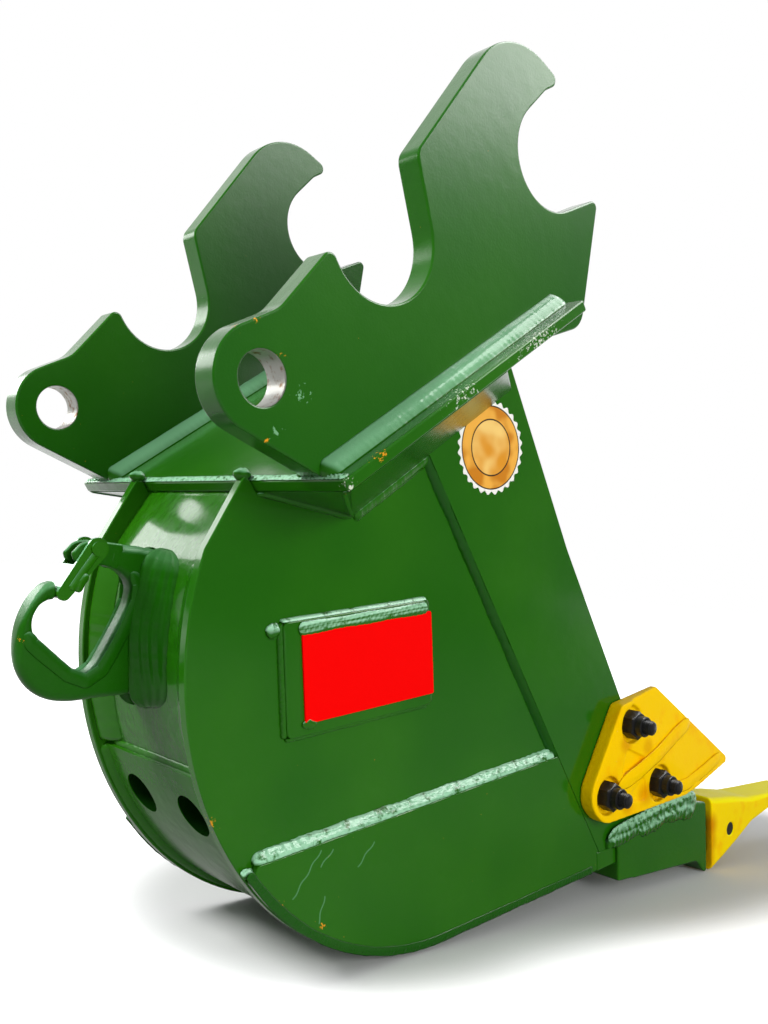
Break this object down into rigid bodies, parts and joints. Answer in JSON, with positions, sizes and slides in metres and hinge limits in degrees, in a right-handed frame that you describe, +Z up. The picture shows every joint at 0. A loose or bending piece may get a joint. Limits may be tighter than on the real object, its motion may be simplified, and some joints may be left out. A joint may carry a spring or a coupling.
{
  "type": "trenching bucket",
  "caption": "Narrow excavator trenching bucket with a claw-and-bore hitch bracket, bolt-on side cutters, pinned teeth and a latched lifting hook.",
  "frame": {"origin": "on the axis of the hitch bore, midway between the two ears", "axes": "+X forwards to the teeth, +Y to the left along the hitch bore, +Z up with the bucket standing on its heel and adapters"},
  "size_m": [1.0691, 0.418, 0.8063],
  "materials": {
    "green_paint": "gloss enamel over welded steel",
    "yellow_paint": "gloss enamel over cast steel",
    "black_steel": "black phosphate",
    "plated_steel": "zinc plated, overpainted in places",
    "red_paint": "gloss enamel"
  },
  "bodies": {
    "bucket": {"adapter_left": "green_paint", "adapter_right": "green_paint", "cutter_bolts_left": "black_steel", "cutter_bolts_right": "black_steel", "cutter_nuts_left": "black_steel", "cutter_nuts_right": "black_steel", "ear_left": "green_paint", "ear_right": "green_paint", "ear_weld_inner_left": "green_paint", "ear_weld_inner_right": "green_paint", "ear_weld_outer_left": "green_paint", "ear_weld_outer_right": "green_paint", "flare_left": "green_paint", "flare_right": "green_paint", "hitch_base_plate": "green_paint", "latch_pin": "plated_steel", "latch_spring": "plated_steel", "lifting_hook": "green_paint", "lip_plate": "green_paint", "mouth_crossbar": "green_paint", "name_plate": "red_paint", "name_plate_backing": "green_paint", "rear_flare_left": "green_paint", "rear_flare_right": "green_paint", "side_bar_left": "green_paint", "side_bar_right": "green_paint", "side_cutter_left": "yellow_paint", "side_cutter_right": "yellow_paint", "side_plate_left": "green_paint", "side_plate_right": "green_paint", "side_wear_plate_left": "green_paint", "side_wear_plate_right": "green_paint", "tooth_left": "yellow_paint", "tooth_pin_left": "black_steel", "tooth_pin_right": "black_steel", "tooth_right": "yellow_paint", "wrapper_lower": "green_paint", "wrapper_upper": "green_paint"},
    "latch": {"hook_latch": "green_paint"}
  },
  "joints": [
    {"name": "latch_hinge", "type": "hinge", "parent": "bucket", "child": "latch", "pos_m": [-0.0305, 0, -0.1275], "axis": [0, 1, 0], "range_deg": [-40, 0], "stiffness_Nm_per_rad": 0.1, "springref_deg": 57.3, "deforming": ["latch_spring"]}
  ]
}
